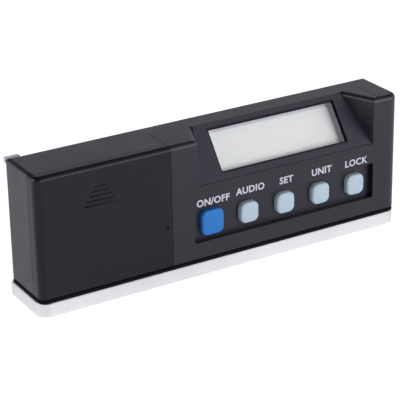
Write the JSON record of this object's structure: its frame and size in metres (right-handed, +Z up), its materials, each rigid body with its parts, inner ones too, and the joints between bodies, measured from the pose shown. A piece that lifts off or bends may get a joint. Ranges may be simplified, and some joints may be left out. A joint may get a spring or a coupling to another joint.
{
  "type": "digital inclinometer",
  "caption": "Moulded electronic level with a sloped display window, a row of push buttons and a sliding battery cover on a flat metal base.",
  "frame": {"origin": "centre of the base plate's flat underside", "axes": "+X along the body to the right as seen from the display side, -Y out of the front face with display and buttons, +Z up out of the base"},
  "size_m": [0.1712, 0.0274, 0.0589],
  "materials": {
    "housing_black": "fine matt moulded grain",
    "base_aluminium": "satin",
    "gasket_rubber": "matt",
    "screw_steel": "plain zinc",
    "magnet_nickel": "nickel plated",
    "bracket_steel": "light grey",
    "foam_grey": "open foam",
    "battery_can": "printed can, left bare",
    "inner_black": "moulded",
    "contact_metal": "tinned",
    "window_clear": "clear, polished",
    "frame_pale": "moulded",
    "lcd_pale": "display off",
    "elastomer_pale": "striped rubber",
    "board_green": "solder mask",
    "switch_black": "moulded",
    "sensor_can": "drawn can",
    "capacitor_sleeve": "sleeve",
    "button_blue": "satin",
    "button_pale": "satin"
  },
  "bodies": {
    "housing": {"base_plate": "base_aluminium", "base_magnets": "magnet_nickel", "base_screws": "screw_steel", "base_gasket": "gasket_rubber", "main_housing": "housing_black", "rear_cover": "housing_black", "rear_screws": "screw_steel", "rear_bracket": "bracket_steel", "bracket_screw": "screw_steel", "battery": "battery_can", "battery_holder": "inner_black", "battery_contacts": "contact_metal", "display_window": "window_clear", "display_frame": "frame_pale", "lcd_glass": "lcd_pale", "elastomer_strips": "elastomer_pale", "display_board": "board_green", "display_screws": "screw_steel", "main_board": "board_green", "board_screws": "screw_steel", "button_switches": "switch_black", "processor": "inner_black", "tilt_sensor": "sensor_can", "buzzer": "inner_black", "crystal": "sensor_can", "capacitor": "capacitor_sleeve"},
    "cover": {"battery_cover": "housing_black", "battery_pad": "foam_grey"},
    "power_button": {"power_button": "button_blue"},
    "audio_button": {"audio_button": "button_pale"},
    "set_button": {"set_button": "button_pale"},
    "unit_button": {"unit_button": "button_pale"},
    "lock_button": {"lock_button": "button_pale"}
  },
  "joints": [
    {"name": "battery_cover_slide", "type": "slide", "parent": "housing", "child": "cover", "axis": [0, 0, 1], "range_m": [0, 0.055]},
    {"name": "power_button_press", "type": "slide", "parent": "housing", "child": "power_button", "axis": [0, 1, 0], "range_m": [0, 0.0008], "stiffness_N_per_m": 300, "springref_m": -0.001},
    {"name": "audio_button_press", "type": "slide", "parent": "housing", "child": "audio_button", "axis": [0, 1, 0], "range_m": [0, 0.0008], "stiffness_N_per_m": 300, "springref_m": -0.001},
    {"name": "set_button_press", "type": "slide", "parent": "housing", "child": "set_button", "axis": [0, 1, 0], "range_m": [0, 0.0008], "stiffness_N_per_m": 300, "springref_m": -0.001},
    {"name": "unit_button_press", "type": "slide", "parent": "housing", "child": "unit_button", "axis": [0, 1, 0], "range_m": [0, 0.0008], "stiffness_N_per_m": 300, "springref_m": -0.001},
    {"name": "lock_button_press", "type": "slide", "parent": "housing", "child": "lock_button", "axis": [0, 1, 0], "range_m": [0, 0.0008], "stiffness_N_per_m": 300, "springref_m": -0.001}
  ]
}
